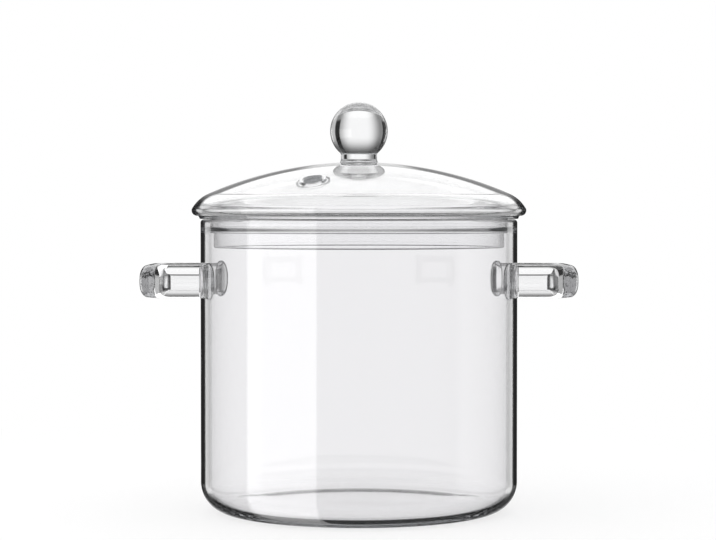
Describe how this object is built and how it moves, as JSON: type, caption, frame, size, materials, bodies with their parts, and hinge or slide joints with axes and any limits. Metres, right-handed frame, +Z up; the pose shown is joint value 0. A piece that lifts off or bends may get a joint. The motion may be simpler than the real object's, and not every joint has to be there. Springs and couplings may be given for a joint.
{
  "type": "glass soup pot",
  "caption": "Clear glass soup pot with a straight round body, fused loop handles and a lift-off domed lid with a locating ring, steam hole and ball knob.",
  "frame": {"origin": "centre of the base's underside, on the pot's axis", "axes": "+Z up along the pot's axis, X along the two handles, front towards -Y with the steam hole front left"},
  "size_m": [0.2736, 0.2112, 0.2586],
  "materials": {
    "thin_glass": "clear blown borosilicate glass, fire polished",
    "thick_glass": "clear solid borosilicate glass, hot worked and fire polished"
  },
  "bodies": {
    "pot": {"pot_body": "thin_glass", "left_handle_loop": "thick_glass", "left_handle_front_foot": "thick_glass", "left_handle_rear_foot": "thick_glass", "right_handle_loop": "thick_glass", "right_handle_front_foot": "thick_glass", "right_handle_rear_foot": "thick_glass"},
    "lid": {"lid_dome": "thin_glass", "lid_locating_ring": "thin_glass", "knob_neck": "thick_glass", "knob_ball": "thick_glass"}
  },
  "joints": [
    {"name": "lid_lift", "type": "slide", "parent": "pot", "child": "lid", "axis": [0, 0, 1], "range_m": [0, 0.06]}
  ]
}
